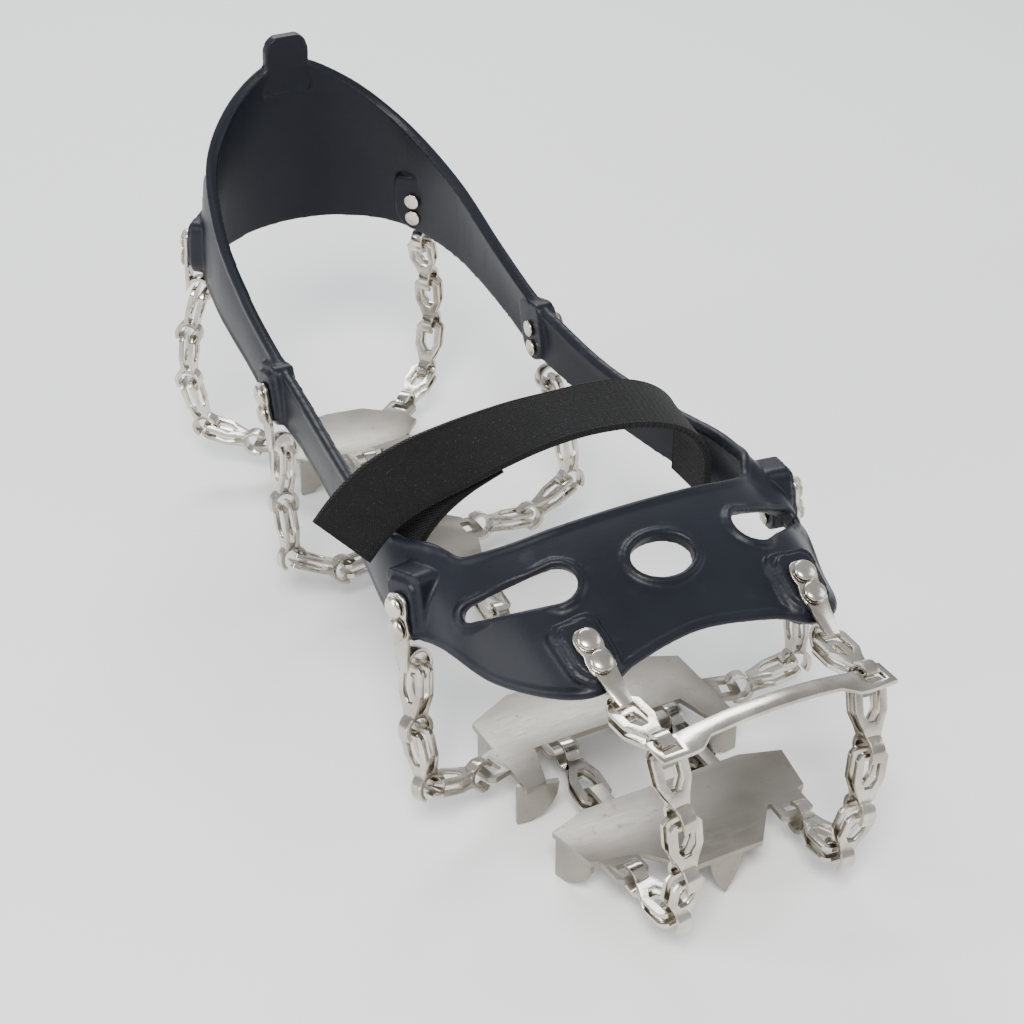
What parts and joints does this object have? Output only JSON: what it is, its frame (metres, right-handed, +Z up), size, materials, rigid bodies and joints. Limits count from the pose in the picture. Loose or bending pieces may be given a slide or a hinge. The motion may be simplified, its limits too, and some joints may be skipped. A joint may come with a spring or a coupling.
{
  "type": "boot ice spikes",
  "caption": "Slip-on ice spikes for a walking boot: elastomer harness with riveted clips, folded-link chains, toothed plates under the sole and a hook-and-loop instep strap.",
  "frame": {"origin": "on the sole plane under the boot's centre, midway along the boot", "axes": "+Z up, toe towards -Y, heel towards +Y, the wearer's view from the heel has -X on the left"},
  "size_m": [0.1394, 0.3138, 0.1494],
  "materials": {
    "navy_elastomer": "satin",
    "stainless_steel": "polished",
    "plate_steel": "satin",
    "black_webbing": "matte"
  },
  "bodies": {
    "harness_on_boot": {"harness": "navy_elastomer", "clip_arch_left": "stainless_steel", "clip_arch_right": "stainless_steel", "clip_ball_left": "stainless_steel", "clip_ball_right": "stainless_steel", "clip_front_left": "stainless_steel", "clip_front_right": "stainless_steel", "clip_rear_left": "stainless_steel", "clip_rear_right": "stainless_steel", "ball_plate": "plate_steel", "arch_plate": "plate_steel", "strap_body": "black_webbing", "strap_anchor": "black_webbing"},
    "front_chain_left_1": {"front_chain_left_1": "stainless_steel", "toe_bar": "stainless_steel"},
    "front_chain_left_2": {"front_chain_left_2": "stainless_steel"},
    "front_chain_left_3": {"front_chain_left_3": "stainless_steel"},
    "front_chain_left_4": {"front_chain_left_4": "stainless_steel"},
    "front_chain_left_5": {"front_chain_left_5": "stainless_steel"},
    "front_chain_right_1": {"front_chain_right_1": "stainless_steel"},
    "front_chain_right_2": {"front_chain_right_2": "stainless_steel"},
    "front_chain_right_3": {"front_chain_right_3": "stainless_steel"},
    "front_chain_right_4": {"front_chain_right_4": "stainless_steel"},
    "front_chain_right_5": {"front_chain_right_5": "stainless_steel"},
    "ball_chain_left_1": {"ball_chain_left_1": "stainless_steel"},
    "ball_chain_left_2": {"ball_chain_left_2": "stainless_steel"},
    "ball_chain_left_3": {"ball_chain_left_3": "stainless_steel"},
    "ball_chain_right_1": {"ball_chain_right_1": "stainless_steel"},
    "ball_chain_right_2": {"ball_chain_right_2": "stainless_steel"},
    "ball_chain_right_3": {"ball_chain_right_3": "stainless_steel"},
    "arch_chain_left_1": {"arch_chain_left_1": "stainless_steel"},
    "arch_chain_left_2": {"arch_chain_left_2": "stainless_steel"},
    "arch_chain_left_3": {"arch_chain_left_3": "stainless_steel"},
    "arch_chain_left_4": {"arch_chain_left_4": "stainless_steel"},
    "arch_chain_right_1": {"arch_chain_right_1": "stainless_steel"},
    "arch_chain_right_2": {"arch_chain_right_2": "stainless_steel"},
    "arch_chain_right_3": {"arch_chain_right_3": "stainless_steel"},
    "arch_chain_right_4": {"arch_chain_right_4": "stainless_steel"},
    "rear_chain_left_1": {"rear_chain_left_1": "stainless_steel"},
    "rear_chain_left_2": {"rear_chain_left_2": "stainless_steel"},
    "rear_chain_left_3": {"rear_chain_left_3": "stainless_steel"},
    "rear_chain_left_4": {"rear_chain_left_4": "stainless_steel"},
    "rear_chain_right_1": {"rear_chain_right_1": "stainless_steel"},
    "rear_chain_right_2": {"rear_chain_right_2": "stainless_steel"},
    "rear_chain_right_3": {"rear_chain_right_3": "stainless_steel"},
    "rear_chain_right_4": {"rear_chain_right_4": "stainless_steel"},
    "front_plate": {"front_plate": "plate_steel"},
    "toe_link_left": {"toe_link_left": "stainless_steel"},
    "toe_link_right": {"toe_link_right": "stainless_steel"},
    "heel_plate": {"heel_plate": "plate_steel"},
    "spine_rear_1": {"spine_rear_1": "stainless_steel"},
    "spine_rear_2": {"spine_rear_2": "stainless_steel"},
    "spine_front_1": {"spine_front_1": "stainless_steel"},
    "spine_front_2": {"spine_front_2": "stainless_steel"},
    "spine_front_3": {"spine_front_3": "stainless_steel"},
    "strap_tail": {"strap_tail": "black_webbing"}
  },
  "joints": [
    {"name": "front_chain_left_1_turn", "type": "hinge", "parent": "harness_on_boot", "child": "front_chain_left_1", "pos_m": [-0.03047, -0.12587, 0.05423], "axis": [-0.9955, -0.0479, -0.0816], "range_deg": [-0.68, 0.68]},
    {"name": "front_chain_left_2_turn", "type": "hinge", "parent": "front_chain_left_1", "child": "front_chain_left_2", "pos_m": [-0.0296, -0.14435, 0.05438], "axis": [-0.9955, -0.0479, -0.0816], "range_deg": [-2.6, 2.6]},
    {"name": "front_chain_left_3_turn", "type": "hinge", "parent": "front_chain_left_2", "child": "front_chain_left_3", "pos_m": [-0.02787, -0.15086, 0.03715], "axis": [-0.9955, -0.0479, -0.0816], "range_deg": [-2.15, 2.15]},
    {"name": "front_chain_left_4_turn", "type": "hinge", "parent": "front_chain_left_3", "child": "front_chain_left_4", "pos_m": [-0.02631, -0.15189, 0.01875], "axis": [-0.9955, -0.0479, -0.0816], "range_deg": [-2.15, 2.15]},
    {"name": "front_chain_left_5_turn", "type": "hinge", "parent": "front_chain_left_4", "child": "front_chain_left_5", "pos_m": [-0.02507, -0.14736, 0.00085], "axis": [-0.9955, -0.0479, -0.0816], "range_deg": [-2.78, 2.78]},
    {"name": "front_chain_right_1_turn", "type": "hinge", "parent": "harness_on_boot", "child": "front_chain_right_1", "pos_m": [0.03047, -0.12587, 0.05423], "axis": [-0.9955, 0.0479, 0.0816], "range_deg": [-0.68, 0.68]},
    {"name": "front_chain_right_2_turn", "type": "hinge", "parent": "front_chain_right_1", "child": "front_chain_right_2", "pos_m": [0.0296, -0.14435, 0.05438], "axis": [-0.9955, 0.0479, 0.0816], "range_deg": [-2.78, 2.78]},
    {"name": "front_chain_right_3_turn", "type": "hinge", "parent": "front_chain_right_2", "child": "front_chain_right_3", "pos_m": [0.02787, -0.15086, 0.03715], "axis": [-0.9955, 0.0479, 0.0816], "range_deg": [-2.15, 2.15]},
    {"name": "front_chain_right_4_turn", "type": "hinge", "parent": "front_chain_right_3", "child": "front_chain_right_4", "pos_m": [0.02631, -0.15189, 0.01875], "axis": [-0.9955, 0.0479, 0.0816], "range_deg": [-2.15, 2.15]},
    {"name": "front_chain_right_5_turn", "type": "hinge", "parent": "front_chain_right_4", "child": "front_chain_right_5", "pos_m": [0.02507, -0.14736, 0.00085], "axis": [-0.9955, 0.0479, 0.0816], "range_deg": [-2.78, 2.78]},
    {"name": "ball_chain_left_1_turn", "type": "hinge", "parent": "harness_on_boot", "child": "ball_chain_left_1", "pos_m": [-0.05868, -0.06825, 0.04003], "axis": [-0.2595, 0.943, -0.2085], "range_deg": [-2.54, 2.54]},
    {"name": "ball_chain_left_2_turn", "type": "hinge", "parent": "ball_chain_left_1", "child": "ball_chain_left_2", "pos_m": [-0.06148, -0.07293, 0.02235], "axis": [-0.2595, 0.943, -0.2085], "range_deg": [-4.87, 4.87]},
    {"name": "ball_chain_left_3_turn", "type": "hinge", "parent": "ball_chain_left_2", "child": "ball_chain_left_3", "pos_m": [-0.0599, -0.07649, 0.00427], "axis": [-0.2595, 0.943, -0.2085], "range_deg": [-3.32, 3.32]},
    {"name": "ball_chain_right_1_turn", "type": "hinge", "parent": "harness_on_boot", "child": "ball_chain_right_1", "pos_m": [0.05868, -0.06825, 0.04003], "axis": [-0.2595, -0.943, 0.2085], "range_deg": [-2.54, 2.54]},
    {"name": "ball_chain_right_2_turn", "type": "hinge", "parent": "ball_chain_right_1", "child": "ball_chain_right_2", "pos_m": [0.06148, -0.07293, 0.02235], "axis": [-0.2595, -0.943, 0.2085], "range_deg": [-4.87, 4.87]},
    {"name": "ball_chain_right_3_turn", "type": "hinge", "parent": "ball_chain_right_2", "child": "ball_chain_right_3", "pos_m": [0.0599, -0.07649, 0.00427], "axis": [-0.2595, -0.943, 0.2085], "range_deg": [-3.32, 3.32]},
    {"name": "arch_chain_left_1_turn", "type": "hinge", "parent": "harness_on_boot", "child": "arch_chain_left_1", "pos_m": [-0.04698, 0.05032, 0.04147], "axis": [-0.0268, 0.968, -0.2495], "range_deg": [-2.19, 2.19]},
    {"name": "arch_chain_left_2_turn", "type": "hinge", "parent": "arch_chain_left_1", "child": "arch_chain_left_2", "pos_m": [-0.05013, 0.04569, 0.02384], "axis": [-0.0268, 0.968, -0.2495], "range_deg": [-4.54, 4.54]},
    {"name": "arch_chain_left_3_turn", "type": "hinge", "parent": "arch_chain_left_2", "child": "arch_chain_left_3", "pos_m": [-0.05024, 0.04107, 0.00593], "axis": [-0.0268, 0.968, -0.2495], "range_deg": [-3.71, 3.71]},
    {"name": "arch_chain_left_4_turn", "type": "hinge", "parent": "arch_chain_left_3", "child": "arch_chain_left_4", "pos_m": [-0.0338, 0.03938, -0.0024], "axis": [-0.0268, 0.968, -0.2495], "range_deg": [-1.67, 1.67]},
    {"name": "arch_chain_right_1_turn", "type": "hinge", "parent": "harness_on_boot", "child": "arch_chain_right_1", "pos_m": [0.04698, 0.05032, 0.04147], "axis": [-0.0268, -0.968, 0.2495], "range_deg": [-2.19, 2.19]},
    {"name": "arch_chain_right_2_turn", "type": "hinge", "parent": "arch_chain_right_1", "child": "arch_chain_right_2", "pos_m": [0.05013, 0.04569, 0.02384], "axis": [-0.0268, -0.968, 0.2495], "range_deg": [-4.54, 4.54]},
    {"name": "arch_chain_right_3_turn", "type": "hinge", "parent": "arch_chain_right_2", "child": "arch_chain_right_3", "pos_m": [0.05024, 0.04107, 0.00593], "axis": [-0.0268, -0.968, 0.2495], "range_deg": [-3.71, 3.71]},
    {"name": "arch_chain_right_4_turn", "type": "hinge", "parent": "arch_chain_right_3", "child": "arch_chain_right_4", "pos_m": [0.0338, 0.03938, -0.0024], "axis": [-0.0268, -0.968, 0.2495], "range_deg": [-1.67, 1.67]},
    {"name": "rear_chain_left_1_turn", "type": "hinge", "parent": "harness_on_boot", "child": "rear_chain_left_1", "pos_m": [-0.04122, 0.13423, 0.05774], "axis": [0.623, 0.7822, 0.0096], "range_deg": [-2.5, 2.5]},
    {"name": "rear_chain_left_2_turn", "type": "hinge", "parent": "rear_chain_left_1", "child": "rear_chain_left_2", "pos_m": [-0.04551, 0.13786, 0.04011], "axis": [0.623, 0.7822, 0.0096], "range_deg": [-2.69, 2.69]},
    {"name": "rear_chain_left_3_turn", "type": "hinge", "parent": "rear_chain_left_2", "child": "rear_chain_left_3", "pos_m": [-0.04687, 0.13917, 0.02171], "axis": [0.623, 0.7822, 0.0096], "range_deg": [-2.48, 2.48]},
    {"name": "rear_chain_left_4_turn", "type": "hinge", "parent": "rear_chain_left_3", "child": "rear_chain_left_4", "pos_m": [-0.04303, 0.13634, 0.00383], "axis": [0.623, 0.7822, 0.0096], "range_deg": [-3.89, 3.89]},
    {"name": "rear_chain_right_1_turn", "type": "hinge", "parent": "harness_on_boot", "child": "rear_chain_right_1", "pos_m": [0.04122, 0.13423, 0.05774], "axis": [0.623, -0.7822, -0.0096], "range_deg": [-2.5, 2.5]},
    {"name": "rear_chain_right_2_turn", "type": "hinge", "parent": "rear_chain_right_1", "child": "rear_chain_right_2", "pos_m": [0.04551, 0.13786, 0.04011], "axis": [0.623, -0.7822, -0.0096], "range_deg": [-2.69, 2.69]},
    {"name": "rear_chain_right_3_turn", "type": "hinge", "parent": "rear_chain_right_2", "child": "rear_chain_right_3", "pos_m": [0.04687, 0.13917, 0.02171], "axis": [0.623, -0.7822, -0.0096], "range_deg": [-2.48, 2.48]},
    {"name": "rear_chain_right_4_turn", "type": "hinge", "parent": "rear_chain_right_3", "child": "rear_chain_right_4", "pos_m": [0.04303, 0.13634, 0.00383], "axis": [0.623, -0.7822, -0.0096], "range_deg": [-3.89, 3.89]},
    {"name": "front_plate_rock", "type": "hinge", "parent": "harness_on_boot", "child": "front_plate", "pos_m": [0, -0.12899, -0.0012], "axis": [1, 0, 0], "range_deg": [-1.5, 1.5]},
    {"name": "toe_link_left_turn", "type": "hinge", "parent": "front_plate", "child": "toe_link_left", "pos_m": [-0.017, -0.09477, -0.00542], "axis": [1, 0, 0], "range_deg": [-4.56, 4.56]},
    {"name": "toe_link_right_turn", "type": "hinge", "parent": "front_plate", "child": "toe_link_right", "pos_m": [0.017, -0.09477, -0.00542], "axis": [1, 0, 0], "range_deg": [-4.56, 4.56]},
    {"name": "heel_plate_rock", "type": "hinge", "parent": "harness_on_boot", "child": "heel_plate", "pos_m": [0, 0.12529, -0.0012], "axis": [1, 0, 0], "range_deg": [-1.5, 1.5]},
    {"name": "spine_rear_1_turn", "type": "hinge", "parent": "harness_on_boot", "child": "spine_rear_1", "pos_m": [0, 0.05642, -0.00542], "axis": [1, 0, 0], "range_deg": [-1.58, 1.58]},
    {"name": "spine_rear_2_turn", "type": "hinge", "parent": "spine_rear_1", "child": "spine_rear_2", "pos_m": [0, 0.07492, -0.00532], "axis": [1, 0, 0], "range_deg": [-0.328, 0.328]},
    {"name": "spine_front_1_turn", "type": "hinge", "parent": "harness_on_boot", "child": "spine_front_1", "pos_m": [0, -0.04054, -0.00542], "axis": [-1, 0, 0], "range_deg": [-1, 1.2]},
    {"name": "spine_front_2_turn", "type": "hinge", "parent": "spine_front_1", "child": "spine_front_2", "pos_m": [0, -0.02207, -0.00649], "axis": [-1, 0, 0], "range_deg": [-1.31, 1.1]},
    {"name": "spine_front_3_turn", "type": "hinge", "parent": "spine_front_2", "child": "spine_front_3", "pos_m": [0, -0.00362, -0.00507], "axis": [-1, 0, 0], "range_deg": [-1.31, 1.1]},
    {"name": "strap_tail_lift", "type": "hinge", "parent": "harness_on_boot", "child": "strap_tail", "pos_m": [-0.03327, -0.04138, 0.08278], "axis": [-0.0851, 0.8091, 0.5815], "range_deg": [0, 110]}
  ],
  "couplings": [
    {"joint": "front_chain_left_1_turn", "follows": "front_chain_left_2_turn", "ratio": -0.23052},
    {"joint": "front_chain_left_3_turn", "follows": "front_chain_left_2_turn", "ratio": -0.76948},
    {"joint": "front_chain_left_4_turn", "follows": "front_chain_left_2_turn", "ratio": -0.76948},
    {"joint": "front_chain_left_5_turn", "follows": "front_chain_left_2_turn", "ratio": 1},
    {"joint": "front_chain_right_1_turn", "follows": "front_chain_left_2_turn", "ratio": -0.23052},
    {"joint": "front_chain_right_2_turn", "follows": "front_chain_left_2_turn", "ratio": 1},
    {"joint": "front_chain_right_3_turn", "follows": "front_chain_left_2_turn", "ratio": -0.76948},
    {"joint": "front_chain_right_4_turn", "follows": "front_chain_left_2_turn", "ratio": -0.76948},
    {"joint": "front_chain_right_5_turn", "follows": "front_chain_left_2_turn", "ratio": 1},
    {"joint": "ball_chain_left_1_turn", "follows": "ball_chain_left_2_turn", "ratio": -0.48646},
    {"joint": "ball_chain_left_3_turn", "follows": "ball_chain_left_2_turn", "ratio": -0.63936},
    {"joint": "ball_chain_right_1_turn", "follows": "ball_chain_right_2_turn", "ratio": -0.48646},
    {"joint": "ball_chain_right_3_turn", "follows": "ball_chain_right_2_turn", "ratio": -0.63936},
    {"joint": "arch_chain_left_1_turn", "follows": "arch_chain_left_2_turn", "ratio": -0.44876},
    {"joint": "arch_chain_left_3_turn", "follows": "arch_chain_left_2_turn", "ratio": -0.7695},
    {"joint": "arch_chain_left_4_turn", "follows": "arch_chain_left_2_turn", "ratio": 0.33945},
    {"joint": "arch_chain_right_1_turn", "follows": "arch_chain_right_2_turn", "ratio": -0.44876},
    {"joint": "arch_chain_right_3_turn", "follows": "arch_chain_right_2_turn", "ratio": -0.7695},
    {"joint": "arch_chain_right_4_turn", "follows": "arch_chain_right_2_turn", "ratio": 0.33945},
    {"joint": "rear_chain_left_1_turn", "follows": "rear_chain_left_4_turn", "ratio": 0.60021},
    {"joint": "rear_chain_left_2_turn", "follows": "rear_chain_left_4_turn", "ratio": -0.64768},
    {"joint": "rear_chain_left_3_turn", "follows": "rear_chain_left_4_turn", "ratio": -0.59588},
    {"joint": "rear_chain_right_1_turn", "follows": "rear_chain_right_4_turn", "ratio": 0.60021},
    {"joint": "rear_chain_right_2_turn", "follows": "rear_chain_right_4_turn", "ratio": -0.64768},
    {"joint": "rear_chain_right_3_turn", "follows": "rear_chain_right_4_turn", "ratio": -0.59588},
    {"joint": "toe_link_left_turn", "follows": "front_plate_rock", "ratio": -2.8963},
    {"joint": "toe_link_right_turn", "follows": "front_plate_rock", "ratio": -2.8963},
    {"joint": "spine_rear_1_turn", "follows": "heel_plate_rock", "ratio": -0.96915},
    {"joint": "spine_rear_2_turn", "follows": "heel_plate_rock", "ratio": 0.17653},
    {"joint": "spine_front_2_turn", "follows": "spine_front_1_turn", "ratio": -1},
    {"joint": "spine_front_3_turn", "follows": "spine_front_1_turn", "ratio": -1}
  ]
}
